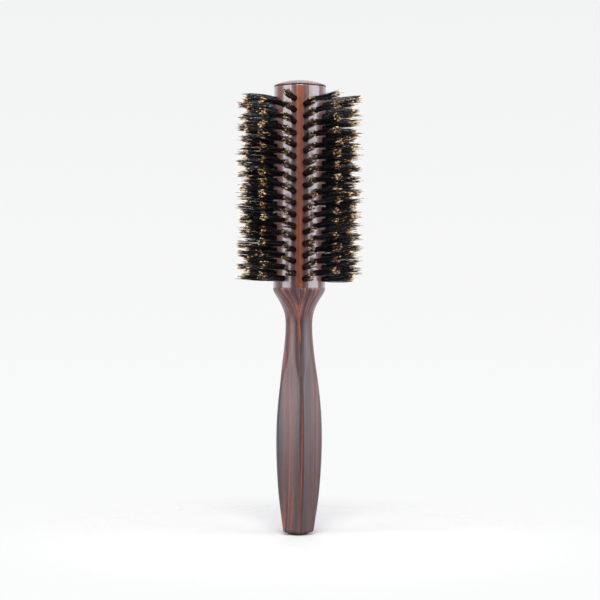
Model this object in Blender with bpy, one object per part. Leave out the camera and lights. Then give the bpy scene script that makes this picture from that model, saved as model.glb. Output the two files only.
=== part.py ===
"""Round barrel hairbrush with a faceted wooden handle.

The brush stands upright on the flat end of its handle, with +Z running up its axis
and -Y as its front. The origin is the centre of the flat end. Units are metres.

A turned handle carries a tenon, which is glued into the drilled barrel. A domed cap
closes the barrel's free end. Fourteen rows of bristle tufts sit in blind holes, and
every second row is shifted by half the spacing of its tufts.
"""

import math

import bmesh
import bpy
from mathutils import Matrix, Vector

# Gap that is left between pieces which touch on the real brush
FIT_GAP = 0.0003

# Whole brush
OVERALL_LENGTH = 0.2350
SHARP_ANGLE = math.radians(35)

# Barrel: a 28-sided solid, with a flat side under every row of tufts
BARREL_RADIUS = 0.01355
BARREL_TOP = 0.2314
ROW_COUNT = 14
BARREL_SIDES = 2 * ROW_COUNT

# Handle: heights and radii of its turned outline, from its end to its shoulder
HANDLE_TOP = 0.1273
END_FLAT_RADIUS = 0.0050
END_ROUND_HEIGHT = 0.0034
END_ROUND_STEPS = 4
HANDLE_OUTLINE = (
    (END_ROUND_HEIGHT, 0.00840),
    (0.0200, 0.01072),
    (0.0340, 0.01182),
    (0.0480, 0.01226),
    (0.0620, 0.01186),
    (0.0760, 0.01050),
    (0.0900, 0.00845),
    (0.1000, 0.00730),
    (0.1080, 0.00690),
    (0.1130, 0.00725),
    (0.1170, 0.00840),
    (0.1215, 0.01062),
    (0.1245, 0.01255),
    (0.1264, 0.01345),
    (HANDLE_TOP, BARREL_RADIUS),
)
STEPS_PER_SPAN = 3

# Flats worked along the grip: they fade in downwards from a pointed top
FLAT_COUNT = 5
FLAT_TURN = math.radians(-27)
FLAT_TOP = 0.0950
FLAT_FULL = 0.0760
FLAT_DEPTH_RATIO = 0.134
FLAT_COLUMN_ANGLES = (-36, -30, -18, -6, 6, 18, 30)

# Glued joint between the handle and the barrel
TENON_RADIUS = 0.0050
TENON_LENGTH = 0.0180
TENON_SIDES = 20

# Domed cap on the barrel's free end, with a spigot on its underside
CAP_RIM_HEIGHT = 0.0006
CAP_SPIGOT_RADIUS = 0.0040
CAP_SPIGOT_LENGTH = 0.0070
DOME_STEPS = 5

# Tufts: holes in the barrel, and the bristles that stand in them
TUFTS_PER_ROW = 16
TUFT_PITCH = 0.00595
FIRST_TUFT_HEIGHT = 0.1322
HOLE_RADIUS = 0.0015
HOLE_SIDES = 6
HOLE_FLOOR = 0.0080
ROOT_HALF_WIDTH = 0.0007
NECK_RADIUS = 0.0142
MERGE_RADIUS = 0.0265
TIP_RADIUS = 0.0312
TIP_HALF_WIDTH = 0.0020
LEAN_SLOPE = math.tan(math.radians(3))

# Colours as (red, green, blue), with roughness; none of the pieces is metallic
BARREL_COLOUR = (0.150, 0.058, 0.044)
HANDLE_COLOUR = (0.125, 0.062, 0.055)
CAP_COLOUR = (0.110, 0.055, 0.050)
BRISTLE_COLOUR = (0.012, 0.011, 0.012)
GLOSS_ROUGHNESS = 0.22
SATIN_ROUGHNESS = 0.38
BRISTLE_ROUGHNESS = 0.45


def clear_scene():
    """Remove every object of the scene."""
    for item in list(bpy.data.objects):
        bpy.data.objects.remove(item, do_unlink=True)


def make_material(name, colour, roughness):
    """Plain Principled material for one kind of piece."""
    material = bpy.data.materials.new(name)
    material.use_nodes = True
    shader = material.node_tree.nodes["Principled BSDF"]
    shader.inputs["Base Color"].default_value = (*colour, 1.0)
    shader.inputs["Roughness"].default_value = roughness
    shader.inputs["Metallic"].default_value = 0.0
    return material


def finish_mesh(shape, name):
    """Turn a bmesh into mesh data whose faces point outwards, smooth up to the sharp angle."""
    bmesh.ops.recalc_face_normals(shape, faces=shape.faces)
    mesh = bpy.data.meshes.new(name)
    shape.to_mesh(mesh)
    shape.free()
    mesh.shade_smooth()
    mesh.set_sharp_from_angle(angle=SHARP_ANGLE)
    return mesh


def add_object(name, mesh, material=None):
    """Put mesh data into the scene under a name."""
    item = bpy.data.objects.new(name, mesh)
    bpy.context.scene.collection.objects.link(item)
    if material and not mesh.materials:
        mesh.materials.append(material)
    return item


def add_ring(shape, radii, height, angles):
    """Closed loop of edges around +Z, with one radius for each angle."""
    corners = []
    for radius, angle in zip(radii, angles):
        corners.append(shape.verts.new((radius * math.cos(angle), radius * math.sin(angle), height)))
    edges = []
    for here, after in zip(corners, corners[1:] + corners[:1]):
        edges.append(shape.edges.new((here, after)))
    return edges


def stack_rings(rings, angles):
    """Closed solid through a stack of (height, radii) rings with the same angles."""
    shape = bmesh.new()
    loops = [add_ring(shape, radii, height, angles) for height, radii in rings]
    for lower, upper in zip(loops, loops[1:]):
        bmesh.ops.bridge_loops(shape, edges=lower + upper)
    for end in (loops[0], loops[-1]):
        bmesh.ops.contextual_create(shape, geom=end)
    return shape


def turned_solid(outline, sides, turn=0.0):
    """Closed turned solid from an outline of (height, radius) points, bottom to top."""
    angles = [turn + math.tau * side / sides for side in range(sides)]
    return stack_rings([(height, [radius] * sides) for height, radius in outline], angles)


def outline_slope(index):
    """Slope of the handle's smooth outline at one of its points."""
    before = HANDLE_OUTLINE[max(index - 1, 0)]
    after = HANDLE_OUTLINE[min(index + 1, len(HANDLE_OUTLINE) - 1)]
    return (after[1] - before[1]) / (after[0] - before[0])


def handle_outline():
    """Points of the turned handle, on a smooth curve through HANDLE_OUTLINE."""
    points = []
    side_radius = HANDLE_OUTLINE[0][1]
    for step in range(END_ROUND_STEPS):
        angle = math.pi / 2 * step / END_ROUND_STEPS
        radius = END_FLAT_RADIUS + (side_radius - END_FLAT_RADIUS) * math.sin(angle)
        points.append((END_ROUND_HEIGHT * (1 - math.cos(angle)), radius))
    for index in range(len(HANDLE_OUTLINE) - 1):
        low, low_radius = HANDLE_OUTLINE[index]
        high, high_radius = HANDLE_OUTLINE[index + 1]
        span = high - low
        for step in range(STEPS_PER_SPAN):
            t = step / STEPS_PER_SPAN
            radius = low_radius * (1 + 2 * t) * (1 - t) ** 2
            radius += high_radius * (3 - 2 * t) * t ** 2
            radius += outline_slope(index) * span * t * (1 - t) ** 2
            radius += outline_slope(index + 1) * span * t ** 2 * (t - 1)
            points.append((low + span * t, radius))
    points.append(HANDLE_OUTLINE[-1])
    return points


def flat_ratio(height):
    """How far the flats stand from the axis at a height, as a share of the turned radius."""
    t = (FLAT_TOP - height) / (FLAT_TOP - FLAT_FULL)
    t = min(max(t, 0.0), 1.0)
    return 1.0 - FLAT_DEPTH_RATIO * t * t * (3 - 2 * t)


def make_handle(material):
    """Grip with flats, neck, flared shoulder and the tenon that enters the barrel."""
    front = -math.pi / 2
    angles = []
    columns = []
    for flat in range(FLAT_COUNT):
        for column in FLAT_COLUMN_ANGLES:
            across = math.radians(column)
            angles.append(front + FLAT_TURN + math.tau * flat / FLAT_COUNT + across)
            columns.append(across)
    rings = []
    for height, radius in handle_outline():
        flat_distance = radius * flat_ratio(height)
        rings.append((height, [min(radius, flat_distance / math.cos(column)) for column in columns]))
    grip = add_object("handle", finish_mesh(stack_rings(rings, angles), "handle"), material)

    tenon_outline = ((HANDLE_TOP - TENON_RADIUS, TENON_RADIUS), (HANDLE_TOP + TENON_LENGTH, TENON_RADIUS))
    tenon = add_object("tenon", finish_mesh(turned_solid(tenon_outline, TENON_SIDES), "tenon"))
    hide_tool(tenon)
    combine(grip, tenon, "UNION")
    return grip


def hide_tool(item):
    """Mark an object as a helper that only shapes other objects."""
    item.hide_render = True
    item.display_type = "WIRE"


def combine(item, tool, operation):
    """Boolean of a helper with a piece, kept as a modifier."""
    modifier = item.modifiers.new(tool.name, "BOOLEAN")
    modifier.object = tool
    modifier.operation = operation
    modifier.solver = "EXACT"


def row_angle(row):
    """Direction of a row around +Z, counted from the first row right of the front."""
    return math.tau * (row + 0.5) / ROW_COUNT - math.pi / 2


def row_shift(row):
    """Every second row stands half a pitch higher."""
    return TUFT_PITCH / 2 if row % 2 else 0.0


def make_hole_cutter():
    """All blind tuft holes in one helper object."""
    shape = bmesh.new()
    depth = BARREL_RADIUS + FIT_GAP - HOLE_FLOOR
    for row in range(ROW_COUNT):
        around = Matrix.Rotation(row_angle(row), 4, "Z")
        for tuft in range(TUFTS_PER_ROW):
            height = FIRST_TUFT_HEIGHT + row_shift(row) + tuft * TUFT_PITCH
            centre = Matrix.Translation((HOLE_FLOOR + depth / 2, 0.0, height))
            outwards = Matrix.Rotation(math.pi / 2, 4, "Y")
            bmesh.ops.create_cone(
                shape,
                cap_ends=True,
                segments=HOLE_SIDES,
                radius1=HOLE_RADIUS,
                radius2=HOLE_RADIUS,
                depth=depth,
                matrix=around @ centre @ outwards,
            )
    cutter = add_object("hole_cutter", finish_mesh(shape, "hole_cutter"))
    hide_tool(cutter)
    return cutter


def make_bore_cutter(name, radius, low, high):
    """Round bore on the barrel's axis between two heights."""
    cutter = add_object(name, finish_mesh(turned_solid(((low, radius), (high, radius)), TENON_SIDES), name))
    hide_tool(cutter)
    return cutter


def make_barrel(material):
    """Drilled barrel, with a bore for the tenon and one for the cap's spigot."""
    bottom = HANDLE_TOP + FIT_GAP
    half_side = math.pi / BARREL_SIDES
    outline = ((bottom, BARREL_RADIUS), (BARREL_TOP, BARREL_RADIUS))
    shape = turned_solid(outline, BARREL_SIDES, row_angle(0) + half_side)
    barrel = add_object("barrel", finish_mesh(shape, "barrel"), material)
    combine(barrel, make_hole_cutter(), "DIFFERENCE")

    tenon_bore_top = HANDLE_TOP + TENON_LENGTH + FIT_GAP
    tenon_bore = make_bore_cutter("tenon_bore", TENON_RADIUS + FIT_GAP, HANDLE_TOP, tenon_bore_top)
    combine(barrel, tenon_bore, "DIFFERENCE")

    spigot_bore_floor = BARREL_TOP - CAP_SPIGOT_LENGTH - FIT_GAP
    cap_top = BARREL_TOP + CAP_RIM_HEIGHT
    spigot_bore = make_bore_cutter("spigot_bore", CAP_SPIGOT_RADIUS + FIT_GAP, spigot_bore_floor, cap_top)
    combine(barrel, spigot_bore, "DIFFERENCE")
    return barrel


def make_end_cap(material):
    """Domed cap with a spigot on its underside, turned in one piece."""
    underside = BARREL_TOP + FIT_GAP
    rim_top = underside + CAP_RIM_HEIGHT
    dome_height = OVERALL_LENGTH - rim_top
    dome_radius = (BARREL_RADIUS ** 2 + dome_height ** 2) / (2 * dome_height)
    dome_angle = math.asin(BARREL_RADIUS / dome_radius)
    outline = [
        (BARREL_TOP - CAP_SPIGOT_LENGTH, CAP_SPIGOT_RADIUS),
        (underside, CAP_SPIGOT_RADIUS),
        (underside, BARREL_RADIUS),
    ]
    for step in range(DOME_STEPS):
        angle = dome_angle * (1 - step / DOME_STEPS)
        height = OVERALL_LENGTH - dome_radius * (1 - math.cos(angle))
        outline.append((height, dome_radius * math.sin(angle)))
    shape = turned_solid(outline, BARREL_SIDES, row_angle(0) + math.pi / BARREL_SIDES)
    crown = max(shape.faces, key=lambda face: face.calc_center_median().z)
    bmesh.ops.poke(shape, faces=[crown], offset=0.0)
    apex = max(shape.verts, key=lambda corner: (corner.co.z, -corner.co.xy.length))
    apex.co = Vector((0.0, 0.0, OVERALL_LENGTH))
    return add_object("end_cap", finish_mesh(shape, "end_cap"), material)


def tuft_corner(shape, outwards, along):
    """Corner of a tuft row's flat pattern, leaning towards the barrel's free end."""
    lean = max(outwards - BARREL_RADIUS, 0.0) * LEAN_SLOPE
    return shape.verts.new((outwards, 0.0, along + lean))


def half_thickness(outwards):
    """Half the thickness of a tuft row, which spreads from the barrel to the tips."""
    spread = max(outwards - NECK_RADIUS, 0.0) / (TIP_RADIUS - NECK_RADIUS)
    return ROOT_HALF_WIDTH + (TIP_HALF_WIDTH - ROOT_HALF_WIDTH) * spread


def make_row_mesh():
    """One row of tufts: separate stems in their holes, whose bristles meet near the tips."""
    shape = bmesh.new()
    root = HOLE_FLOOR + FIT_GAP
    sheet = []
    for tuft in range(TUFTS_PER_ROW):
        centre = tuft * TUFT_PITCH
        low = tuft_corner(shape, NECK_RADIUS, centre - ROOT_HALF_WIDTH)
        high = tuft_corner(shape, NECK_RADIUS, centre + ROOT_HALF_WIDTH)
        root_high = tuft_corner(shape, root, centre + ROOT_HALF_WIDTH)
        root_low = tuft_corner(shape, root, centre - ROOT_HALF_WIDTH)
        shape.faces.new((low, high, root_high, root_low))
        sheet.extend((low, high))
        if tuft < TUFTS_PER_ROW - 1:
            sheet.append(tuft_corner(shape, MERGE_RADIUS, centre + TUFT_PITCH / 2))
    row_top = (TUFTS_PER_ROW - 1) * TUFT_PITCH + TUFT_PITCH / 2
    sheet.append(tuft_corner(shape, TIP_RADIUS, row_top))
    sheet.append(tuft_corner(shape, TIP_RADIUS, -TUFT_PITCH / 2))
    shape.faces.new(sheet)

    near = list(shape.verts)
    grown = bmesh.ops.extrude_face_region(shape, geom=list(shape.faces))
    far = [item for item in grown["geom"] if isinstance(item, bmesh.types.BMVert)]
    for corners, side in ((near, -1.0), (far, 1.0)):
        for corner in corners:
            corner.co.y = side * half_thickness(corner.co.x)
    return finish_mesh(shape, "tuft_row")


def make_tuft_rows(material):
    """Fourteen rows of tufts that share one mesh."""
    mesh = make_row_mesh()
    for row in range(ROW_COUNT):
        item = add_object(f"tuft_row_{row + 1:02d}", mesh, material)
        item.location.z = FIRST_TUFT_HEIGHT + row_shift(row)
        item.rotation_euler.z = row_angle(row)


def main():
    clear_scene()
    barrel_wood = make_material("barrel_wood", BARREL_COLOUR, GLOSS_ROUGHNESS)
    handle_wood = make_material("handle_wood", HANDLE_COLOUR, SATIN_ROUGHNESS)
    cap_wood = make_material("cap_wood", CAP_COLOUR, GLOSS_ROUGHNESS)
    bristle = make_material("boar_bristle", BRISTLE_COLOUR, BRISTLE_ROUGHNESS)
    make_handle(handle_wood)
    make_barrel(barrel_wood)
    make_end_cap(cap_wood)
    make_tuft_rows(bristle)


main()
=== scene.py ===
"""Looks of a round barrel hairbrush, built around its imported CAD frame. Metres, +Z up, the front faces -Y."""

import math
from collections import namedtuple

import bmesh
import bpy
import numpy as np
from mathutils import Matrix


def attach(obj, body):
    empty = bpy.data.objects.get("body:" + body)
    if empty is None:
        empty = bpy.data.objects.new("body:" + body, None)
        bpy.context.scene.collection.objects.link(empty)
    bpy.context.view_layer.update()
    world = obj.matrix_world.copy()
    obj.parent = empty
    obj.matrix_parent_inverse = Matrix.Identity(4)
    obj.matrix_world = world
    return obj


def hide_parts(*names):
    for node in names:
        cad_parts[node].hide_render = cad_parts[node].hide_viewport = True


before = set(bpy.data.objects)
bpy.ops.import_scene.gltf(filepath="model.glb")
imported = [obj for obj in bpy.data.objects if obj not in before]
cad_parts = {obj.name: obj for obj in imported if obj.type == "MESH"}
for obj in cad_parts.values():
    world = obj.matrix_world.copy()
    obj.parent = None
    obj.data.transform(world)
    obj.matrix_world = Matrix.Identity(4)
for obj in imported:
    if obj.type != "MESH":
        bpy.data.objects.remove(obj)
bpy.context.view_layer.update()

# ---------------------------------------------------------------- dimensions shared with the CAD part
OVERALL_LENGTH = 0.2350
BARREL_RADIUS = 0.01355
BARREL_TOP = 0.2314
HANDLE_TOP = 0.1273
ROW_COUNT = 14

# Handle: heights and radii of its turned outline, from above its end to its shoulder
END_ROUND_HEIGHT = 0.0034
HANDLE_OUTLINE = (
    (END_ROUND_HEIGHT, 0.00840),
    (0.0200, 0.01072),
    (0.0340, 0.01182),
    (0.0480, 0.01226),
    (0.0620, 0.01186),
    (0.0760, 0.01050),
    (0.0900, 0.00845),
    (0.1000, 0.00730),
    (0.1080, 0.00690),
    (0.1130, 0.00725),
    (0.1170, 0.00840),
    (0.1215, 0.01062),
    (0.1245, 0.01255),
    (0.1264, 0.01345),
    (HANDLE_TOP, BARREL_RADIUS),
)

# Flats along the grip, which fade in downwards from a pointed top
FLAT_COUNT = 5
FLAT_TURN = math.radians(-27)
FLAT_TOP = 0.0950
FLAT_FULL = 0.0760
FLAT_DEPTH_RATIO = 0.134

CAP_GAP = 0.0003
CAP_RIM_HEIGHT = 0.0006

TUFTS_PER_ROW = 16
TUFT_PITCH = 0.00595
FIRST_TUFT_HEIGHT = 0.1322
HOLE_RADIUS = 0.0015
LEAN_SLOPE = math.tan(math.radians(3))

# ---------------------------------------------------------------- finer detail of the turned pieces
MM = 0.001
WELD_DISTANCE = 2e-6
ON_AXIS = 1e-7
EDGE_STEPS = 4

# Hairline joint between the handle and the barrel
JOINT_HEIGHT = 0.12745
JOINT_HALF_GAP = 0.00002
JOINT_EDGE_ROUND = 0.00008

# Handle: its mesh, its flats' soft edges, and its end with a flat contact, a crown and a tight corner
HANDLE_COLUMNS = 320
HANDLE_RING_STEP = 0.00055
FLAT_EDGE_SOFTNESS = 0.00014
CONTACT_RADIUS = 0.00415
CROWN_HEIGHT = 0.00130
CROWN_STEPS = 4
CORNER_RADIUS = 0.00130
CORNER_STEPS = 8
FOOT_STEPS = 3

# Barrel: square cells with a rounded hole in each
CELL_DIVISIONS = 8
CELL_RING_SHARES = (0.38, 0.72)
LOWER_LEFT = math.radians(-135)
RIM_SUPPORT = 0.00010
RIM_ROUND = 0.00013
RIM_STEPS = 4
RECESS_DEPTH = 0.0013
BARREL_EDGE_ROUND = 0.00030
BARREL_END_STEPS = 5

# Cap: a small round at its foot, a larger one at its rim, and the dome
CAP_SEGMENTS = 128
CAP_FOOT_ROUND = 0.00015
CAP_EDGE_ROUND = 0.00035
CAP_EDGE_STEPS = 6
DOME_RINGS = 16

# ---------------------------------------------------------------- bristles, with their spreads in metres
BRISTLES_PER_TUFT = 76
BRISTLE_SEED = 41
BRISTLE_SIDES = 3
BRISTLE_START = 0.0124
BRISTLE_TIP = 0.0319
BRISTLE_RADIUS = 0.000116
THICKNESS_RANGE = (0.72, 1.15)

# Rings along a bristle: at its start, at these shares of its length from the tip, then at these distances
RING_SHARES = (0.64, 0.36)
TIP_DISTANCES = (0.0024, 0.0014, 0.0008, 0.0004, 0.0)
RADIUS_PROFILE = (1.0, 1.0, 0.96, 0.90, 0.84, 0.76, 0.66, 0.42)

# Where the bristles of a tuft stand in their hole and where their tips come to lie
DISC_SCATTER = 0.05
MOUTH_SPREAD = 0.00122
TIP_SPREAD = 0.00225
TIP_SPREAD_RANGE = (0.85, 1.12)
TIP_SCATTER = 0.00016
CLUMPS = 11
CLUMP_FIELD = 0.85
CLUMP_PULL = 0.72
CLUMP_PULL_RANGE = (0.45, 1.2)
TUFT_DRIFT = 0.00042
WILD_SHARE = 0.07
WILD_SCATTER = 0.0008
BEND_SCATTER = 0.00026
TUFT_BEND_SCATTER = 0.00025

# How far the bristles reach from the axis, compared with BRISTLE_TIP
TUFT_REACH_SCATTER = 0.00035
CLUMP_REACH_RANGE = (-0.0019, 0.0007)
SHORTFALL_SHAPE = 1.4
SHORTFALL_SCALE = 0.00060
LONG_SHARE = 0.05
LONG_RANGE = (0.0004, 0.0018)
SHORT_SHARE = 0.10
SHORT_RANGE = (0.001, 0.004)

# Tones of bristle, in the order of their material slots: colour, roughness and shine
BRISTLE_TONES = (
    ("bristle_black", (0.0022, 0.0023, 0.0030), 0.36, 0.22),
    ("bristle_umber", (0.0200, 0.0105, 0.0060), 0.36, 0.30),
    ("bristle_brown", (0.1600, 0.0720, 0.0220), 0.38, 0.50),
    ("bristle_amber", (0.6400, 0.3200, 0.0850), 0.40, 0.60),
    ("bristle_gold", (0.9600, 0.7000, 0.3900), 0.42, 0.80),
    ("bristle_blue_black", (0.0070, 0.0085, 0.0130), 0.24, 0.90),
    ("bristle_steel", (0.0300, 0.0340, 0.0420), 0.24, 1.00),
)
BLACK, UMBER, TAWNY, AMBER, GOLD, BLUE_BLACK, STEEL = range(len(BRISTLE_TONES))
SPARKLE_SCALE = (900.0, 900.0, 1400.0)
SPARKLE_RANGE = (0.3, 0.7)
SHINE_SHARES = (0.4, 1.6)

# Shafts and tips as (share of bristles up to here, tone): a tip has one tone for each of its rings
SHAFTS = ((0.70, BLACK), (0.93, BLUE_BLACK), (1.0, STEEL))
TIP_KINDS = (
    (0.36, (BLACK, BLACK, BLACK, TAWNY)),
    (0.62, (BLACK, UMBER, TAWNY, AMBER)),
    (1.0, (UMBER, TAWNY, GOLD, GOLD)),
)
CLUMP_TONE_SHARE = 0.78

# ---------------------------------------------------------------- wood
DARK = (0.0085, 0.0058, 0.0092)
BROWN = (0.0340, 0.0122, 0.0115)
PLUM = (0.0170, 0.0105, 0.0172)
RUSSET = (0.0740, 0.0205, 0.0140)
ORANGE = (0.1700, 0.0380, 0.0120)
PALE = (0.108, 0.066, 0.080)
PALE_DARK = (0.044, 0.028, 0.036)
PALE_ORANGE = (0.200, 0.066, 0.034)
BARREL_CLEAR = (0.142, 0.0330, 0.0095)
BARREL_RED = (0.092, 0.0190, 0.0090)
BARREL_PINK = (0.062, 0.0340, 0.0360)
BARREL_DARK = (0.038, 0.0250, 0.0310)

# Bands across the wood, as (place across in millimetres, colour)
BAND_HALF_WIDTH = 14.0
HANDLE_BANDS = (
    (-14.0, DARK), (-11.4, PLUM), (-9.6, BROWN), (-9.2, RUSSET), (-7.6, RUSSET), (-7.2, DARK),
    (-6.7, PLUM), (-6.2, RUSSET), (-4.0, RUSSET), (-3.6, BROWN), (-2.6, PLUM), (-1.2, BROWN),
    (-0.55, RUSSET), (-0.40, ORANGE), (0.20, ORANGE), (0.40, DARK), (2.2, DARK), (2.8, PLUM),
    (4.6, BROWN), (5.6, RUSSET), (6.4, BROWN), (8.2, RUSSET), (9.0, PLUM), (11.0, BROWN), (14.0, DARK),
)
BARREL_BANDS = (
    (-14.0, BARREL_DARK), (-12.0, BARREL_PINK), (-11.0, BARREL_RED), (-9.1, BARREL_RED),
    (-8.8, BARREL_DARK), (-8.2, BARREL_PINK), (-5.6, BARREL_PINK), (-5.3, BARREL_CLEAR),
    (-3.6, BARREL_PINK), (-3.2, BARREL_DARK), (-2.1, BARREL_DARK), (-1.85, BARREL_CLEAR),
    (1.55, BARREL_CLEAR), (1.80, BARREL_DARK), (2.8, BARREL_DARK), (3.2, BARREL_CLEAR),
    (5.4, BARREL_PINK), (8.0, BARREL_PINK), (8.4, BARREL_DARK), (9.1, BARREL_DARK),
    (9.4, BARREL_RED), (11.2, BARREL_RED), (11.6, BARREL_PINK), (14.0, BARREL_DARK),
)
CAP_BANDS = (
    (-14.0, BARREL_DARK), (-10.0, BARREL_PINK), (-6.0, BARREL_DARK), (-3.0, BARREL_PINK),
    (0.0, BARREL_DARK), (4.0, BARREL_PINK), (7.0, BARREL_CLEAR), (9.0, BARREL_DARK), (14.0, BARREL_PINK),
)

# The handle's bands bow about a middle height and stand aside by a little
BOW_MIDDLE = 0.050
BOW_CURVE = 0.5
BOW_SHIFT = 0.0019

# Over the middle of the handle, the bright line gives way to dark wood, fading at both ends
MIDDLE_BANDS = tuple((at, DARK if colour is ORANGE else colour) for at, colour in HANDLE_BANDS)
MIDDLE_FADES = (0.064, 0.074, 0.098, 0.105)

# Over the flare, the wood is cut across its layers, and a sheen is painted over it: narrow pale bands that lean
# outward, partly end grain and partly a painted reflection of the bright floor and the softboxes
FLARE_HALF_WIDTH = 5.0
FLARE_BANDS = (
    (-5.0, PALE), (-3.6, PALE), (-3.2, PALE_DARK), (-2.8, PALE_DARK), (-2.6, PALE_ORANGE),
    (-2.35, PALE_ORANGE), (-2.2, PALE), (-1.95, PALE_DARK), (-1.6, PALE_ORANGE), (-1.35, PALE_ORANGE),
    (-1.2, PALE), (-0.65, PALE_DARK), (-0.45, PALE_ORANGE), (-0.2, PALE_ORANGE), (-0.1, PALE_DARK),
    (0.15, PALE), (0.3, PALE_ORANGE), (0.6, PALE_ORANGE), (0.7, PALE_DARK), (1.0, PALE),
    (1.7, PALE_DARK), (2.2, PALE_DARK), (2.35, PALE_ORANGE), (2.6, PALE_ORANGE), (2.75, PALE),
    (3.1, PALE_DARK), (3.25, PALE_ORANGE), (3.55, PALE_ORANGE), (3.75, PALE), (5.0, PALE),
)
NECK_RADIUS = 0.0069
FLARE_OFFSET = 0.0044
FLARE_START = 0.1065
FLARE_END = 0.1140
PALE_START = 0.1105
PALE_END = 0.1165
PALE_SHARE = 0.92

# Noise over the bands: scales in repeats per metre, widths in metres
WANDER_SCALE = (60.0, 60.0, 14.0)
WANDER_WIDTH = 0.0005
FRAY_SCALE = (1500.0, 1500.0, 40.0)
FRAY_WIDTH = 0.00030
PATCH_SCALE = (130.0, 130.0, 24.0)
PATCH_RANGE = (0.42, 0.62)
GRAIN_SCALE = (1400.0, 150.0, 6.0)
STREAK_SCALE = (2400.0, 2400.0, 40.0)
PORE_SCALE = (3200.0, 3200.0, 170.0)
FIBRE_ROUGHNESS = 0.6

# Tones that the noise gives: the grain's are changes from 1 at full contrast, the others are factors
PLAIN = (1.0, 1.0, 1.0)
GRAIN_CHANGES = (
    (0.34, (-0.62, -0.62, -0.62)),
    (0.45, (-0.25, -0.20, -0.10)),
    (0.53, (0.0, 0.0, 0.0)),
    (0.64, (0.9, 0.5, 0.3)),
)
STREAK_TONES = ((0.28, (0.66, 0.63, 0.63)), (0.50, PLAIN), (0.72, (1.26, 1.22, 1.20)))
PORE_TONES = ((0.30, (0.42, 0.40, 0.40)), (0.38, PLAIN))
PORE_SHARE = 0.8

# Finish of the wood, with the sheen's change along the streaks and the relief that the light picks up
Finish = namedtuple("Finish", "roughness coat coat_roughness gloss")
HANDLE_FINISH = Finish(0.46, 0.10, 0.28, 0.43)
BARREL_FINISH = Finish(0.40, 0.86, 0.09, 0.45)
CAP_FINISH = Finish(0.46, 0.35, 0.16, 0.50)
STREAK_RANGE = (0.3, 0.7)
ROUGHNESS_CHANGES = (-0.05, 0.07)
RELIEF_STRENGTH = 0.12
RELIEF_DEPTH = 0.00005
PORE_RELIEF = 0.7
STREAK_RELIEF = 0.5

# ---------------------------------------------------------------- studio
FLOOR_RADIUS = 1.2
FLOOR_SEGMENTS = 96
FLOOR_TONES = ((0.3, (0.390, 0.391, 0.387)), (0.7, (0.404, 0.405, 0.401)))
FLOOR_MOTTLE = (30.0, 30.0, 30.0)
FLOOR_ROUGHNESS = 0.6
FLOOR_GLOSS = 0.15
FADE_START = 0.02
FADE_END = 0.19

# Backdrop as the camera sees it, by height, and as it lights the object, from front to back
SEEN_LIMIT = 0.2
SEEN_TONES = ((0.0, (0.975, 0.98, 0.985)), (0.5, (0.930, 0.932, 0.936)), (1.0, (0.885, 0.888, 0.893)))
LIT_LIMIT = 1.0
LIT_TONES = (
    (0.0, (0.05, 0.05, 0.055)),
    (0.46, (0.07, 0.07, 0.08)),
    (0.66, (0.46, 0.46, 0.50)),
    (0.80, (0.92, 0.92, 0.95)),
    (0.93, (0.95, 0.95, 0.97)),
    (1.0, (0.60, 0.60, 0.62)),
)
LIT_STRENGTH = 1.7

# Softboxes: azimuth from the front towards +X and tilt in degrees, the rest in metres and watts
Softbox = namedtuple("Softbox", "name azimuth tilt distance middle width height power colour")
COOL = (0.930, 0.935, 1.0)
WARM = (1.0, 0.985, 0.96)
SOFTBOXES = (
    Softbox("softbox_left", -58.0, 0.0, 1.10, 0.44, 0.80, 1.06, 21.5, COOL),
    Softbox("softbox_right", 66.0, 0.0, 1.10, 0.44, 1.07, 1.06, 27.0, COOL),
    Softbox("softbox_front", 0.0, 48.0, 0.72, 0.95, 0.50, 0.40, 23.0, WARM),
)

CAMERA_HEIGHT = 0.1213
CAMERA_DISTANCE = 0.88
CAMERA_SIDE = 0.00049
CAMERA_LENS = 101.9
CAMERA_ROLL = math.radians(-0.285)
CAMERA_CLIP_START = 0.01


# ---------------------------------------------------------------- shared sums
def smooth_step(value):
    """0 below 0, 1 above 1, and a smooth rise between them."""
    share = min(max(value, 0.0), 1.0)
    return share * share * (3.0 - 2.0 * share)


def row_angle(row):
    """The direction of a tuft row, as an angle from +X towards +Y."""
    return math.tau * (row + 0.5) / ROW_COUNT - math.pi / 2


def first_height(row):
    """The height of the lowest tuft of a row."""
    return FIRST_TUFT_HEIGHT + (row % 2) * TUFT_PITCH / 2


# ---------------------------------------------------------------- mesh helpers
def mesh_object(name, points, faces):
    """A smooth-shaded object whose coincident points are welded and whose faces are turned outward."""
    mesh = bpy.data.meshes.new(name)
    mesh.from_pydata(points, [], faces)
    work = bmesh.new()
    work.from_mesh(mesh)
    bmesh.ops.remove_doubles(work, verts=work.verts, dist=WELD_DISTANCE)
    bmesh.ops.recalc_face_normals(work, faces=work.faces)
    work.to_mesh(mesh)
    work.free()
    mesh.shade_smooth()
    piece = bpy.data.objects.new(name, mesh)
    bpy.context.scene.collection.objects.link(piece)
    return piece


def ring_faces(lower, upper):
    """Quads between two closed rings of point numbers of equal length."""
    count = len(lower)
    return [
        (lower[i], lower[(i + 1) % count], upper[(i + 1) % count], upper[i])
        for i in range(count)
    ]


def lathe(name, profile, segments):
    """A closed turned solid from (radius, height) points that run from the axis out and back to it."""
    points = []
    rings = []
    for radius, height in profile:
        if radius < ON_AXIS:
            points.append((0.0, 0.0, height))
            rings.append([len(points) - 1])
            continue
        rings.append(list(range(len(points), len(points) + segments)))
        for i in range(segments):
            angle = math.tau * i / segments
            points.append((radius * math.cos(angle), radius * math.sin(angle), height))
    faces = []
    for lower, upper in zip(rings, rings[1:]):
        if len(lower) == 1:
            faces += [(lower[0], upper[(i + 1) % segments], upper[i]) for i in range(segments)]
        elif len(upper) == 1:
            faces += [(lower[i], lower[(i + 1) % segments], upper[0]) for i in range(segments)]
        else:
            faces += ring_faces(lower, upper)
    return mesh_object(name, points, faces)


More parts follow.
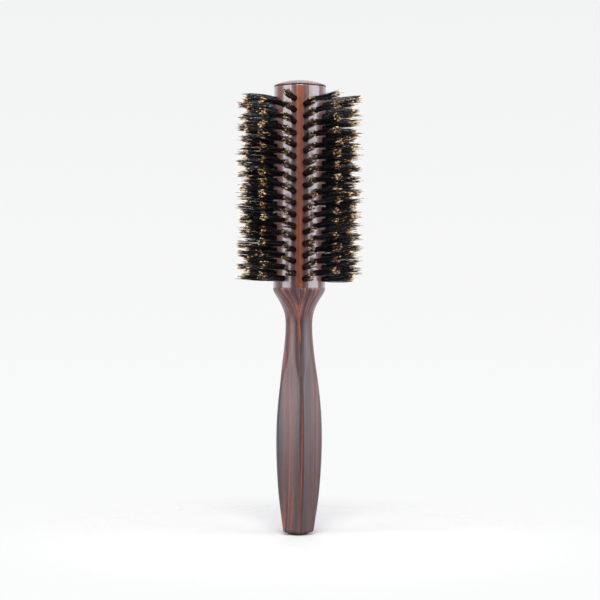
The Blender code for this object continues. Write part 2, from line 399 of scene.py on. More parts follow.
# ---------------------------------------------------------------- handle
def outline_slope(index):
    """The slope of the handle's outline at one of its points."""
    before = HANDLE_OUTLINE[max(index - 1, 0)]
    after = HANDLE_OUTLINE[min(index + 1, len(HANDLE_OUTLINE) - 1)]
    return (after[1] - before[1]) / (after[0] - before[0])


def outline_radius(height):
    """The handle's round radius at a height, on a smooth curve through its outline."""
    index = 0
    while index < len(HANDLE_OUTLINE) - 2 and height > HANDLE_OUTLINE[index + 1][0]:
        index += 1
    z0, r0 = HANDLE_OUTLINE[index]
    z1, r1 = HANDLE_OUTLINE[index + 1]
    span = z1 - z0
    t = min(max((height - z0) / span, 0.0), 1.0)
    return (
        r0 * (2 * t**3 - 3 * t**2 + 1)
        + outline_slope(index) * span * (t**3 - 2 * t**2 + t)
        + r1 * (3 * t**2 - 2 * t**3)
        + outline_slope(index + 1) * span * (t**3 - t**2)
    )


def side_radius(height, angle):
    """The handle's surface at a height and an angle from the front: a round form with five long flats."""
    radius = outline_radius(height)
    ratio = 1.0 - FLAT_DEPTH_RATIO * smooth_step((FLAT_TOP - height) / (FLAT_TOP - FLAT_FULL))
    pitch = math.tau / FLAT_COUNT
    off_centre = (angle - FLAT_TURN + pitch / 2) % pitch - pitch / 2
    flat = radius * ratio / math.cos(off_centre)
    apart = abs(flat - radius)
    blend = max(FLAT_EDGE_SOFTNESS - apart, 0.0) ** 2 / (4 * FLAT_EDGE_SOFTNESS)
    return min(flat, radius) - blend


def end_rings(sides):
    """Rings of the handle's end: a flat contact, a shallow crown, a tight corner and the foot of the side."""
    taper = outline_slope(0) / HANDLE_OUTLINE[0][1]
    corner_top = CROWN_HEIGHT + CORNER_RADIUS
    at_corner = [side * (1 - taper * (END_ROUND_HEIGHT - corner_top)) for side in sides]
    rings = []
    for step in range(CROWN_STEPS):
        t = step / CROWN_STEPS
        radii = [CONTACT_RADIUS + (side - CORNER_RADIUS - CONTACT_RADIUS) * t for side in at_corner]
        rings.append((CROWN_HEIGHT * t, radii))
    for step in range(CORNER_STEPS + 1):
        t = math.pi / 2 * step / CORNER_STEPS
        radii = [side - CORNER_RADIUS * (1 - math.sin(t)) for side in at_corner]
        rings.append((CROWN_HEIGHT + CORNER_RADIUS * (1 - math.cos(t)), radii))
    for step in range(1, FOOT_STEPS):
        height = corner_top + (END_ROUND_HEIGHT - corner_top) * step / FOOT_STEPS
        rings.append((height, [side * (1 - taper * (END_ROUND_HEIGHT - height)) for side in sides]))
    return rings


def handle_piece():
    """The whole handle, from its crowned end to the flared shoulder."""
    angles = [math.tau * i / HANDLE_COLUMNS for i in range(HANDLE_COLUMNS)]
    rings = end_rings([side_radius(END_ROUND_HEIGHT, angle) for angle in angles])
    top = JOINT_HEIGHT - JOINT_HALF_GAP
    steps = math.ceil((HANDLE_TOP - END_ROUND_HEIGHT) / HANDLE_RING_STEP)
    for step in range(steps + 1):
        height = END_ROUND_HEIGHT + (HANDLE_TOP - END_ROUND_HEIGHT) * step / steps
        rings.append((height, [side_radius(height, a) for a in angles]))
    for step in range(1, EDGE_STEPS + 1):
        t = math.pi / 2 * step / EDGE_STEPS
        radius = BARREL_RADIUS - JOINT_EDGE_ROUND * (1 - math.cos(t))
        height = top - JOINT_EDGE_ROUND * (1 - math.sin(t))
        rings.append((height, [radius] * HANDLE_COLUMNS))
    points = []
    loops = []
    for height, radii in rings:
        loops.append(list(range(len(points), len(points) + HANDLE_COLUMNS)))
        for angle, radius in zip(angles, radii):
            points.append((radius * math.sin(angle), -radius * math.cos(angle), height))
    faces = []
    for lower, upper in zip(loops, loops[1:]):
        faces += ring_faces(lower, upper)
    for loop, height in ((loops[0], rings[0][0]), (loops[-1], rings[-1][0])):
        points.append((0.0, 0.0, height))
        centre = len(points) - 1
        faces += [(loop[i], loop[(i + 1) % HANDLE_COLUMNS], centre) for i in range(HANDLE_COLUMNS)]
    return mesh_object("handle_turned", points, faces)


# ---------------------------------------------------------------- barrel
def on_barrel(angle, height):
    """A point of the barrel's round surface."""
    return (BARREL_RADIUS * math.cos(angle), BARREL_RADIUS * math.sin(angle), height)


def cell_outline(divisions):
    """The border points of a square cell from -1 to 1, anticlockwise from the lower left corner."""
    step = 2.0 / divisions
    marks = [-1.0 + step * i for i in range(divisions)]
    return (
        [(m, -1.0) for m in marks]
        + [(1.0, m) for m in marks]
        + [(-m, 1.0) for m in marks]
        + [(-1.0, -m) for m in marks]
    )


def hole_cell(points, faces, angle, height, half_angle):
    """One cell of the barrel's surface with a rounded hole in its middle."""
    half_width = half_angle * BARREL_RADIUS
    half_height = TUFT_PITCH / 2
    border = [(u * half_width, v * half_height) for u, v in cell_outline(CELL_DIVISIONS)]
    count = len(border)
    turns = [math.tau * i / count + LOWER_LEFT for i in range(count)]
    circle = [(math.cos(turn), math.sin(turn)) for turn in turns]
    outward = (math.cos(angle), math.sin(angle), LEAN_SLOPE)

    def ring(places, depth):
        """Add a loop of points at places in the cell, sunk along the hole, and return its numbers."""
        numbers = list(range(len(points), len(points) + count))
        for u, v in places:
            x, y, z = on_barrel(angle + u / BARREL_RADIUS, height + v)
            points.append((x - depth * outward[0], y - depth * outward[1], z - depth * outward[2]))
        return numbers

    mouth = HOLE_RADIUS + RIM_ROUND + RIM_SUPPORT
    loops = [ring(border, 0.0)]
    for share in CELL_RING_SHARES:
        loops.append(
            ring(
                [
                    (b[0] + (mouth * c[0] - b[0]) * share, b[1] + (mouth * c[1] - b[1]) * share)
                    for b, c in zip(border, circle)
                ],
                0.0,
            )
        )
    loops.append(ring([(mouth * c[0], mouth * c[1]) for c in circle], 0.0))
    for step in range(RIM_STEPS + 1):
        t = math.pi / 2 * step / RIM_STEPS
        radius = HOLE_RADIUS + RIM_ROUND * (1 - math.sin(t))
        loops.append(ring([(radius * c[0], radius * c[1]) for c in circle], RIM_ROUND * (1 - math.cos(t))))
    loops.append(ring([(HOLE_RADIUS * c[0], HOLE_RADIUS * c[1]) for c in circle], RECESS_DEPTH))
    for outer, inner in zip(loops, loops[1:]):
        faces += ring_faces(outer, inner)
    faces.append(tuple(loops[-1]))


def barrel_levels(bottom, top):
    """Heights of the rings on the barrel: one step of a cell apart beside the holes, wider at both ends."""
    first = FIRST_TUFT_HEIGHT - TUFT_PITCH / 2
    step = TUFT_PITCH / CELL_DIVISIONS
    count = round((TUFTS_PER_ROW + 0.5) * CELL_DIVISIONS)
    levels = [bottom, (bottom + first) / 2]
    levels += [first + step * i for i in range(count + 1)]
    margin = top - levels[-1]
    levels += [levels[-1] + margin * (i + 1) / BARREL_END_STEPS for i in range(BARREL_END_STEPS)]
    return levels


def barrel_strip(points, faces, row, levels):
    """The upright strip of the barrel's surface that holds one row of holes."""
    centre = row_angle(row)
    half_angle = math.pi / ROW_COUNT
    low = first_height(row) - TUFT_PITCH / 2
    high = low + TUFTS_PER_ROW * TUFT_PITCH
    for tuft in range(TUFTS_PER_ROW):
        hole_cell(points, faces, centre, first_height(row) + tuft * TUFT_PITCH, half_angle)
    turns = [2 * half_angle * i / CELL_DIVISIONS for i in range(CELL_DIVISIONS + 1)]
    angles = [centre - half_angle + turn for turn in turns]
    for z0, z1 in zip(levels, levels[1:]):
        if low < (z0 + z1) / 2 < high:
            continue
        for a0, a1 in zip(angles, angles[1:]):
            base = len(points)
            points += [on_barrel(a0, z0), on_barrel(a1, z0), on_barrel(a1, z1), on_barrel(a0, z1)]
            faces.append((base, base + 1, base + 2, base + 3))


def barrel_end(points, faces, edge, rounding, sign):
    """One end of the barrel: its rounded edge and its flat. sign is -1 for the lower end."""
    columns = ROW_COUNT * CELL_DIVISIONS
    start = row_angle(0) - math.pi / ROW_COUNT
    around = [start + math.tau * i / columns for i in range(columns)]
    loops = []
    for step in range(EDGE_STEPS + 1):
        t = math.pi / 2 * step / EDGE_STEPS
        radius = BARREL_RADIUS - rounding * (1 - math.cos(t))
        height = edge + sign * rounding * math.sin(t)
        loops.append(list(range(len(points), len(points) + columns)))
        points += [(radius * math.cos(a), radius * math.sin(a), height) for a in around]
    for lower, upper in zip(loops, loops[1:]):
        faces += ring_faces(lower, upper)
    points.append((0.0, 0.0, edge + sign * rounding))
    middle = len(points) - 1
    faces += [(loops[-1][i], loops[-1][(i + 1) % columns], middle) for i in range(columns)]


def barrel_piece():
    """The wooden barrel with its 224 rounded bristle holes."""
    points = []
    faces = []
    bottom = JOINT_HEIGHT + JOINT_HALF_GAP + JOINT_EDGE_ROUND
    top = BARREL_TOP - BARREL_EDGE_ROUND
    levels = barrel_levels(bottom, top)
    for row in range(ROW_COUNT):
        barrel_strip(points, faces, row, levels)
    barrel_end(points, faces, bottom, JOINT_EDGE_ROUND, -1)
    barrel_end(points, faces, top, BARREL_EDGE_ROUND, 1)
    return mesh_object("barrel_bored", points, faces)


# ---------------------------------------------------------------- end cap
def cap_piece():
    """The low domed cap that closes the barrel."""
    base = BARREL_TOP + CAP_GAP
    rim = base + CAP_RIM_HEIGHT
    rise = OVERALL_LENGTH - rim
    ball = (BARREL_RADIUS**2 + rise**2) / (2 * rise)
    centre = OVERALL_LENGTH - ball
    profile = [(0.0, base)]
    for step in range(EDGE_STEPS + 1):
        t = math.pi / 2 * step / EDGE_STEPS
        radius = BARREL_RADIUS - CAP_FOOT_ROUND * (1 - math.sin(t))
        profile.append((radius, base + CAP_FOOT_ROUND * (1 - math.cos(t))))
    tilt = math.asin((BARREL_RADIUS - CAP_EDGE_ROUND) / (ball - CAP_EDGE_ROUND))
    edge_z = centre + (ball - CAP_EDGE_ROUND) * math.cos(tilt)
    for step in range(CAP_EDGE_STEPS + 1):
        t = math.pi / 2 - (math.pi / 2 - tilt) * step / CAP_EDGE_STEPS
        radius = BARREL_RADIUS - CAP_EDGE_ROUND + CAP_EDGE_ROUND * math.sin(t)
        profile.append((radius, edge_z + CAP_EDGE_ROUND * math.cos(t)))
    for step in range(1, DOME_RINGS + 1):
        t = tilt * (1 - step / DOME_RINGS)
        profile.append((ball * math.sin(t), centre + ball * math.cos(t)))
    return lathe("end_cap_domed", profile, CAP_SEGMENTS)


# ---------------------------------------------------------------- bristles
def tuft_bristles(rng):
    """Base, tip, reach and bend of every bristle of one tuft, and a number that picks its tip's tone."""
    count = BRISTLES_PER_TUFT
    turn = rng.uniform(0, math.tau)
    order = np.arange(count) + 0.5
    distance = np.sqrt(order / count)
    angle = order * math.pi * (3 - math.sqrt(5)) + turn
    disc = np.stack([distance * np.cos(angle), distance * np.sin(angle)], 1)
    disc += rng.normal(0, DISC_SCATTER, disc.shape)
    base = disc * MOUTH_SPREAD
    spread = TIP_SPREAD * rng.uniform(*TIP_SPREAD_RANGE)
    tip = disc * spread + rng.normal(0, TIP_SCATTER, disc.shape)
    centres = rng.uniform(-1, 1, (CLUMPS, 2)) * spread * CLUMP_FIELD
    nearest = np.argmin(((tip[:, None] - centres[None]) ** 2).sum(2), 1)
    pull = CLUMP_PULL * rng.uniform(*CLUMP_PULL_RANGE, (count, 1))
    tip += (centres[nearest] - tip) * pull
    tip += rng.normal(0, TUFT_DRIFT, (1, 2))
    wild = rng.random(count) < WILD_SHARE
    tip[wild] += rng.normal(0, WILD_SCATTER, (wild.sum(), 2))

    reach = BRISTLE_TIP + rng.normal(0, TUFT_REACH_SCATTER) + np.zeros(count)
    clump_reach = rng.uniform(*CLUMP_REACH_RANGE, CLUMPS)
    reach += clump_reach[nearest]
    reach -= rng.gamma(SHORTFALL_SHAPE, SHORTFALL_SCALE, count)
    long_ones = rng.random(count) < LONG_SHARE
    reach[long_ones] = BRISTLE_TIP + rng.uniform(*LONG_RANGE, long_ones.sum())
    short_ones = rng.random(count) < SHORT_SHARE
    reach[short_ones] -= rng.uniform(*SHORT_RANGE, short_ones.sum())
    bend = rng.normal(0, BEND_SCATTER, (count, 2)) + rng.normal(0, TUFT_BEND_SCATTER, (1, 2))
    clump_tone = rng.random(CLUMPS)
    tint = np.where(rng.random(count) < CLUMP_TONE_SHARE, clump_tone[nearest], rng.random(count))
    return base, tip, reach, bend, tint


def row_bristles(row):
    """Points of all bristles of a row, ring by ring, and two numbers that pick each one's tones."""
    rng = np.random.default_rng(BRISTLE_SEED + row)
    angle = row_angle(row)
    outward = np.array([math.cos(angle), math.sin(angle), 0.0])
    sideways = np.array([-math.sin(angle), math.cos(angle), 0.0])
    upward = np.array([0.0, 0.0, 1.0])
    points = []
    tints = []
    for tuft in range(TUFTS_PER_ROW):
        base, tip, reach, bend, tint = tuft_bristles(rng)
        count = len(reach)
        height = first_height(row) + tuft * TUFT_PITCH
        length = reach - BRISTLE_START
        along = [np.zeros(count)]
        along += [np.full(count, 1.0 - share) for share in RING_SHARES]
        along += [1.0 - distance / length for distance in TIP_DISTANCES]
        along = np.stack(along, 1)
        side = base[:, None, :] + (tip - base)[:, None, :] * along[:, :, None]
        side = side + bend[:, None, :] * (4 * along * (1 - along))[:, :, None]
        radius = BRISTLE_START + length[:, None] * along
        lift = LEAN_SLOPE * (radius - BARREL_RADIUS)
        centre = (
            outward * radius[:, :, None]
            + sideways * side[:, :, 0:1]
            + upward * (side[:, :, 1] + lift + height)[:, :, None]
        )
        thick = BRISTLE_RADIUS * rng.uniform(*THICKNESS_RANGE, count)
        turn = rng.uniform(0, math.tau, count)
        corners = turn[:, None] + math.tau * np.arange(BRISTLE_SIDES) / BRISTLE_SIDES
        around = sideways * np.cos(corners)[:, :, None] + upward * np.sin(corners)[:, :, None]
        size = thick[:, None] * np.array(RADIUS_PROFILE)
        corner_points = centre[:, :, None, :] + around[:, None, :, :] * size[:, :, None, None]
        points.append(corner_points.reshape(-1, 3))
        tints.append(np.stack([rng.random(count), tint], 1))
    return np.concatenate(points), np.concatenate(tints)


def bristle_faces(tints):
    """Side quads and end triangles of a row's bristles, and the material slot of each face."""
    ring_count = len(RADIUS_PROFILE)
    per_bristle = ring_count * BRISTLE_SIDES
    quads = []
    rings = []
    for ring in range(ring_count - 1):
        for corner in range(BRISTLE_SIDES):
            after = (corner + 1) % BRISTLE_SIDES
            low = ring * BRISTLE_SIDES
            high = low + BRISTLE_SIDES
            quads.append((low + corner, low + after, high + after, high + corner))
            rings.append(ring)
    starts = np.arange(len(tints)) * per_bristle
    sides = (starts[:, None, None] + np.array(quads)[None]).reshape(-1, 4)
    ends = starts[:, None] + per_bristle - BRISTLE_SIDES + np.arange(BRISTLE_SIDES)[None]

    shaft_tones = np.select([tints[:, 0] < share for share, _ in SHAFTS], [tone for _, tone in SHAFTS])
    ring_tones = np.repeat(shaft_tones[:, None], ring_count - 1, 1)
    kinds = np.select([tints[:, 1] < share for share, _ in TIP_KINDS], list(range(len(TIP_KINDS))))
    tip_tones = np.array([tones for _, tones in TIP_KINDS])
    ring_tones[:, -tip_tones.shape[1]:] = tip_tones[kinds]
    slots = np.concatenate([ring_tones[:, rings].ravel(), ring_tones[:, -1]])
    return sides, ends, slots


def bristle_row(row):
    """One row of tufts as a single mesh of tapered bristles."""
    points, tints = row_bristles(row)
    sides, ends, slots = bristle_faces(tints)
    corners = np.concatenate([sides.ravel(), ends.ravel()])
    first_corners = np.concatenate(
        [np.arange(len(sides)) * 4, len(sides) * 4 + np.arange(len(ends)) * BRISTLE_SIDES]
    )
    name = f"bristles_row_{row + 1:02d}"
    mesh = bpy.data.meshes.new(name)
    mesh.vertices.add(len(points))
    mesh.vertices.foreach_set("co", points.astype(np.float32).ravel())
    mesh.loops.add(len(corners))
    mesh.loops.foreach_set("vertex_index", corners.astype(np.int32))
    mesh.polygons.add(len(slots))
    mesh.polygons.foreach_set("loop_start", first_corners.astype(np.int32))
    mesh.polygons.foreach_set("material_index", slots.astype(np.int32))
    mesh.update(calc_edges=True)
    mesh.validate()
    mesh.shade_smooth()
    piece = bpy.data.objects.new(name, mesh)
    bpy.context.scene.collection.objects.link(piece)
    return piece


# ---------------------------------------------------------------- materials
class Nodes:
    """A small helper that builds one material's nodes."""

    def __init__(self, name):
        """A new material with its Principled shader."""
        self.material = bpy.data.materials.new(name)
        self.material.use_nodes = True
        self.tree = self.material.node_tree
        self.surface = self.tree.nodes["Principled BSDF"]

    def add(self, kind, **settings):
        """A new node with its settings."""
        made = self.tree.nodes.new(kind)
        for key, value in settings.items():
            setattr(made, key, value)
        return made

    def join(self, source, target):
        """A link from one socket to another."""
        self.tree.links.new(source, target)

    def maths(self, operation, first, second=None):
        """The result of a sum, whose terms are sockets or numbers."""
        made = self.add("ShaderNodeMath", operation=operation)
        for socket, value in zip(made.inputs, (first, second)):
            if value is None:
                continue
            if isinstance(value, (int, float)):
                socket.default_value = value
            else:
                self.join(value, socket)
        return made.outputs[0]

    def noise(self, vector, scale, detail=2.0, roughness=0.5):
        """Noise stretched by a scale for each axis, in repeats per metre."""
        mapping = self.add("ShaderNodeMapping")
        mapping.inputs["Scale"].default_value = scale
        self.join(vector, mapping.inputs["Vector"])
        texture = self.add("ShaderNodeTexNoise")
        texture.inputs["Scale"].default_value = 1.0
        texture.inputs["Detail"].default_value = detail
        texture.inputs["Roughness"].default_value = roughness
        self.join(mapping.outputs[0], texture.inputs["Vector"])
        return texture.outputs["Fac"]

    def ramp(self, value, stops):
        """A colour ramp through (position, colour) stops."""
        made = self.add("ShaderNodeValToRGB")
        elements = made.color_ramp.elements
        while len(elements) < len(stops):
            elements.new(0.5)
        for element, (position, colour) in zip(elements, stops):
            element.position = position
            element.color = (*colour, 1.0)
        self.join(value, made.inputs[0])
        return made.outputs["Color"]

    def mix(self, share, first, second):
        """One colour that gives way to another by a share from 0 to 1."""
        made = self.add("ShaderNodeMix", data_type="RGBA")
        self.join(share, made.inputs["Factor"])
        self.join(first, made.inputs["A"])
        self.join(second, made.inputs["B"])
        return made.outputs["Result"]

    def multiply(self, colour, other, share=1.0):
        """A colour multiplied by another, at a fixed strength."""
        made = self.add("ShaderNodeMix", data_type="RGBA", blend_type="MULTIPLY")
        made.inputs["Factor"].default_value = share
        self.join(colour, made.inputs["A"])
        self.join(other, made.inputs["B"])
        return made.outputs["Result"]

    def stretch(self, value, low, high, new_low, new_high, interpolation="LINEAR"):
        """A value carried over from one range to another."""
        made = self.add("ShaderNodeMapRange", interpolation_type=interpolation)
        self.join(value, made.inputs["Value"])
        made.inputs["From Min"].default_value = low
        made.inputs["From Max"].default_value = high
        made.inputs["To Min"].default_value = new_low
        made.inputs["To Max"].default_value = new_high
        return made.outputs["Result"]


def flared(made, split):
    """The place across the wood, where the stripes lean outward with the radius above the neck: partly the
    wood's layers, partly painted reflection bands that follow the flare.
    """
    flat = made.add("ShaderNodeCombineXYZ")
    made.join(split.outputs["X"], flat.inputs["X"])
    made.join(split.outputs["Y"], flat.inputs["Y"])
    radius = made.add("ShaderNodeVectorMath", operation="LENGTH")
    made.join(flat.outputs[0], radius.inputs[0])
    side = made.maths("ABSOLUTE", split.outputs["X"])
    ratio = made.maths("DIVIDE", made.maths("ADD", side, FLARE_OFFSET), radius.outputs["Value"])
    lean = made.maths("SUBTRACT", made.maths("MULTIPLY", ratio, NECK_RADIUS), FLARE_OFFSET)
    signed = made.maths("MULTIPLY", lean, made.maths("SIGN", split.outputs["X"]))
    share = made.stretch(split.outputs["Z"], FLARE_START, FLARE_END, 0.0, 1.0)
    change = made.maths("MULTIPLY", made.maths("SUBTRACT", signed, split.outputs["X"]), share)
    return made.maths("ADD", split.outputs["X"], change)


def band_colours(made, across, bands, half_width):
    """The colours of the bands at a place across the wood in metres."""
    stops = [(0.5 + at / (2 * half_width), colour) for at, colour in bands]
    share = made.stretch(across, -half_width * MM, half_width * MM, 0.0, 1.0)
    return made.ramp(share, stops)


def middle_darkened(made, split, across, colour):
    """The colour with the bright line left out over the middle of the handle."""
    low, low_full, high_full, high = MIDDLE_FADES
    rise = made.stretch(split.outputs["Z"], low, low_full, 0.0, 1.0)
    fall = made.stretch(split.outputs["Z"], high_full, high, 1.0, 0.0)
    darker = band_colours(made, across, MIDDLE_BANDS, BAND_HALF_WIDTH)
    return made.mix(made.maths("MULTIPLY", rise, fall), colour, darker)


def flare_grain_and_painted_sheen(made, split, across, colour):
    """The colour made paler over the flare: partly end grain, where the wood is cut across its layers, and
    partly a painted sheen that stands for the reflection of the bright floor and the softboxes.
    """
    share = made.stretch(split.outputs["Z"], PALE_START, PALE_END, 0.0, PALE_SHARE)
    paler = band_colours(made, across, FLARE_BANDS, FLARE_HALF_WIDTH)
    return made.mix(share, colour, paler)


def wavering(made, place, scale, detail, width):
    """A small noisy shift to either side, in metres."""
    noise = made.noise(place, scale, detail=detail)
    return made.maths("MULTIPLY", made.maths("SUBTRACT", noise, 0.5), width)


def place_across(made, place, split, on_handle):
    """The place across the bands, which waver, and on the handle also bow and follow the flare."""
    sway = wavering(made, place, WANDER_SCALE, 2.0, WANDER_WIDTH)
    fray = wavering(made, place, FRAY_SCALE, 1.0, FRAY_WIDTH)
    waver = made.maths("ADD", sway, fray)
    if not on_handle:
        return made.maths("ADD", split.outputs["X"], waver)
    along = made.maths("SUBTRACT", split.outputs["Z"], BOW_MIDDLE)
    bowed = made.maths("MULTIPLY", made.maths("MULTIPLY", along, along), BOW_CURVE)
    across = made.maths("ADD", made.maths("ADD", flared(made, split), bowed), waver)
    return made.maths("SUBTRACT", across, BOW_SHIFT)


def grained(made, split, across, colour, contrast):
    """The colour with fine lines that follow the bands."""
    place = made.add("ShaderNodeCombineXYZ")
    made.join(across, place.inputs["X"])
    made.join(split.outputs["Y"], place.inputs["Y"])
    made.join(split.outputs["Z"], place.inputs["Z"])
    grain = made.noise(place.outputs[0], GRAIN_SCALE, detail=3.0, roughness=FIBRE_ROUGHNESS)
    stops = [(at, tuple(1.0 + change * contrast for change in changes)) for at, changes in GRAIN_CHANGES]
    return made.multiply(colour, made.ramp(grain, stops))


def finished(made, finish, streak, pores):
    """The wood's sheen and coat, with a slight relief of its streaks and pores."""
    smoothest, roughest = (finish.roughness + change for change in ROUGHNESS_CHANGES)
    made.join(made.stretch(streak, *STREAK_RANGE, smoothest, roughest), made.surface.inputs["Roughness"])
    made.surface.inputs["Specular IOR Level"].default_value = finish.gloss
    made.surface.inputs["Coat Weight"].default_value = finish.coat
    made.surface.inputs["Coat Roughness"].default_value = finish.coat_roughness
    bump = made.add("ShaderNodeBump")
    bump.inputs["Strength"].default_value = RELIEF_STRENGTH
    bump.inputs["Distance"].default_value = RELIEF_DEPTH
    pore_relief = made.maths("MULTIPLY", pores, PORE_RELIEF)
    streak_relief = made.maths("MULTIPLY", streak, STREAK_RELIEF)
    made.join(made.maths("ADD", pore_relief, streak_relief), bump.inputs["Height"])
    made.join(bump.outputs[0], made.surface.inputs["Normal"])


def banded_wood(name, bands, finish, contrast, plainness, plain_colour, on_handle=False):
    """Dark striped wood with upright bands, and with patches, fine grain, fibres and pores over them.

    contrast is the fine grain's, and plainness says how far patches give way to the plain colour.
    """
    made = Nodes(name)
    place = made.add("ShaderNodeTexCoord").outputs["Object"]
    split = made.add("ShaderNodeSeparateXYZ")
    made.join(place, split.inputs[0])
    across = place_across(made, place, split, on_handle)
    colour = band_colours(made, across, bands, BAND_HALF_WIDTH)
    if on_handle:
        colour = middle_darkened(made, split, across, colour)
    patches = made.noise(place, PATCH_SCALE, detail=2.0)
    plain = made.add("ShaderNodeMix", data_type="RGBA")
    made.join(made.stretch(patches, *PATCH_RANGE, 0.0, plainness), plain.inputs["Factor"])
    made.join(colour, plain.inputs["A"])
    plain.inputs["B"].default_value = (*plain_colour, 1.0)
    colour = plain.outputs["Result"]
    if on_handle:
        # Paler bands over the flare: partly end grain, partly a painted sheen
        colour = flare_grain_and_painted_sheen(made, split, across, colour)
    colour = grained(made, split, across, colour, contrast)
    streak = made.noise(place, STREAK_SCALE, detail=3.0, roughness=FIBRE_ROUGHNESS)
    colour = made.multiply(colour, made.ramp(streak, STREAK_TONES))
    pores = made.noise(place, PORE_SCALE, detail=1.0)
    colour = made.multiply(colour, made.ramp(pores, PORE_TONES), PORE_SHARE)
    made.join(colour, made.surface.inputs["Base Color"])
    finished(made, finish, streak, pores)
    return made.material


def bristle_material(name, colour, roughness, shine):
    """Boar bristle of one tone, whose shine varies finely from hair to hair."""
    made = Nodes(name)
    made.surface.inputs["Base Color"].default_value = (*colour, 1.0)
    made.surface.inputs["Roughness"].default_value = roughness
    place = made.add("ShaderNodeTexCoord").outputs["Object"]
    sparkle = made.noise(place, SPARKLE_SCALE, detail=2.0)
    dullest, brightest = (shine * share for share in SHINE_SHARES)
    varied = made.stretch(sparkle, *SPARKLE_RANGE, dullest, brightest)
    made.join(varied, made.surface.inputs["Specular IOR Level"])
    return made.material


# ---------------------------------------------------------------- the object
def place_piece(piece, node, materials):
    """Give a piece its materials, hang it on its body and hide the CAD node that it replaces."""
    for material in materials:
        piece.data.materials.append(material)
    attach(piece, "root")
    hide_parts(node)


handle_grain = banded_wood(
    "handle_grain",
    HANDLE_BANDS,
    HANDLE_FINISH,
    contrast=1.0,
    plainness=0.60,
    plain_colour=BROWN,
    on_handle=True,
)
barrel_grain = banded_wood(
    "barrel_grain", BARREL_BANDS, BARREL_FINISH, contrast=0.5, plainness=0.35, plain_colour=BARREL_PINK
)
cap_grain = banded_wood(
    "cap_grain", CAP_BANDS, CAP_FINISH, contrast=0.6, plainness=0.40, plain_colour=BARREL_PINK
)
place_piece(handle_piece(), "handle", [handle_grain])
place_piece(barrel_piece(), "barrel", [barrel_grain])
place_piece(cap_piece(), "end_cap", [cap_grain])

bristle_tones = [bristle_material(*tone) for tone in BRISTLE_TONES]
for row in range(ROW_COUNT):
    place_piece(bristle_row(row), f"tuft_row_{row + 1:02d}", bristle_tones)

# ---------------------------------------------------------------- floor, light and camera
def floor_piece():
    """A pale round floor that fades out into the backdrop."""
    mesh = bpy.data.meshes.new("studio_floor")
    angles = [math.tau * i / FLOOR_SEGMENTS for i in range(FLOOR_SEGMENTS)]
    points = [(FLOOR_RADIUS * math.cos(angle), FLOOR_RADIUS * math.sin(angle), 0.0) for angle in angles]
    mesh.from_pydata(points, [], [tuple(range(FLOOR_SEGMENTS))])
    piece = bpy.data.objects.new("studio_floor", mesh)
    bpy.context.scene.collection.objects.link(piece)
    made = Nodes("studio_floor_pale")
    place = made.add("ShaderNodeTexCoord").outputs["Object"]
    length = made.add("ShaderNodeVectorMath", operation="LENGTH")
    made.join(place, length.inputs[0])
    fade = made.stretch(length.outputs["Value"], FADE_START, FADE_END, 1.0, 0.0, "SMOOTHSTEP")
    mottle = made.noise(place, FLOOR_MOTTLE, detail=3.0)
    made.join(made.ramp(mottle, FLOOR_TONES), made.surface.inputs["Base Color"])
    made.surface.inputs["Roughness"].default_value = FLOOR_ROUGHNESS
    made.surface.inputs["Specular IOR Level"].default_value = FLOOR_GLOSS
    made.join(fade, made.surface.inputs["Alpha"])
    piece.data.materials.append(made.material)
    return piece


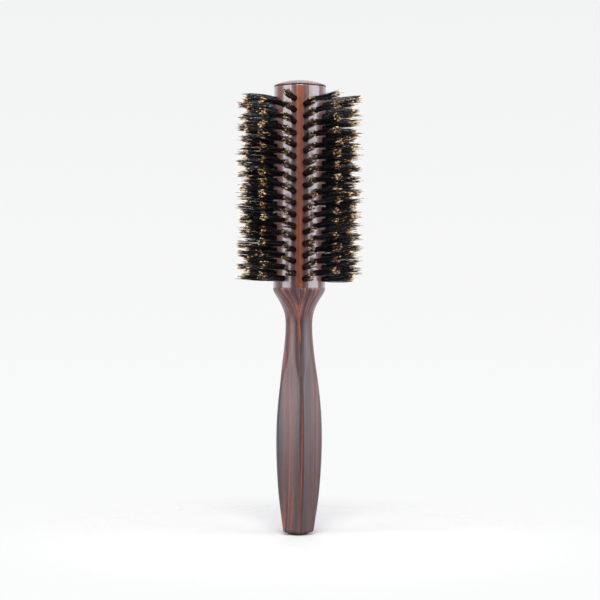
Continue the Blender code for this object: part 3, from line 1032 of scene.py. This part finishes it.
def studio_world():
    """A plain near-white backdrop, brighter behind the object than in front of it as a source of light."""
    world = bpy.data.worlds.new("studio")
    world.use_nodes = True
    tree = world.node_tree
    tree.nodes.clear()
    out = tree.nodes.new("ShaderNodeOutputWorld")
    place = tree.nodes.new("ShaderNodeTexCoord").outputs["Generated"]
    split = tree.nodes.new("ShaderNodeSeparateXYZ")
    tree.links.new(place, split.inputs[0])

    def toned(socket, limit, stops):
        """A background whose tone changes along one axis, from -limit to limit."""
        stretch = tree.nodes.new("ShaderNodeMapRange")
        tree.links.new(socket, stretch.inputs["Value"])
        stretch.inputs["From Min"].default_value = -limit
        stretch.inputs["From Max"].default_value = limit
        made = tree.nodes.new("ShaderNodeValToRGB")
        while len(made.color_ramp.elements) < len(stops):
            made.color_ramp.elements.new(0.5)
        for element, (position, colour) in zip(made.color_ramp.elements, stops):
            element.position = position
            element.color = (*colour, 1.0)
        tree.links.new(stretch.outputs[0], made.inputs[0])
        background = tree.nodes.new("ShaderNodeBackground")
        tree.links.new(made.outputs["Color"], background.inputs["Color"])
        return background

    backdrop = toned(split.outputs["Z"], SEEN_LIMIT, SEEN_TONES)
    light = toned(split.outputs["Y"], LIT_LIMIT, LIT_TONES)
    light.inputs["Strength"].default_value = LIT_STRENGTH
    mix = tree.nodes.new("ShaderNodeMixShader")
    path = tree.nodes.new("ShaderNodeLightPath")
    tree.links.new(path.outputs["Is Camera Ray"], mix.inputs[0])
    tree.links.new(light.outputs[0], mix.inputs[1])
    tree.links.new(backdrop.outputs[0], mix.inputs[2])
    tree.links.new(mix.outputs[0], out.inputs["Surface"])
    bpy.context.scene.world = world


def light_object(box):
    """A soft light that faces the object's axis and is tilted down."""
    data = bpy.data.lights.new(box.name, "AREA")
    data.shape = "RECTANGLE"
    data.size = box.width
    data.size_y = box.height
    data.energy = box.power
    data.color = box.colour
    light = bpy.data.objects.new(box.name, data)
    angle = math.radians(box.azimuth)
    light.location = (box.distance * math.sin(angle), -box.distance * math.cos(angle), box.middle)
    light.rotation_euler = (math.pi / 2 - math.radians(box.tilt), 0.0, angle)
    light.visible_camera = False
    bpy.context.scene.collection.objects.link(light)


def studio_camera():
    """The level camera in front of the object."""
    data = bpy.data.cameras.new("camera")
    data.lens = CAMERA_LENS
    data.clip_start = CAMERA_CLIP_START
    camera = bpy.data.objects.new("camera", data)
    camera.location = (CAMERA_SIDE, -CAMERA_DISTANCE, CAMERA_HEIGHT)
    camera.rotation_euler = (math.pi / 2, CAMERA_ROLL, 0.0)
    bpy.context.scene.collection.objects.link(camera)
    return camera


floor_piece()
studio_world()
for box in SOFTBOXES:
    light_object(box)
bpy.context.scene.camera = studio_camera()
bpy.context.scene.view_settings.view_transform = "Standard"
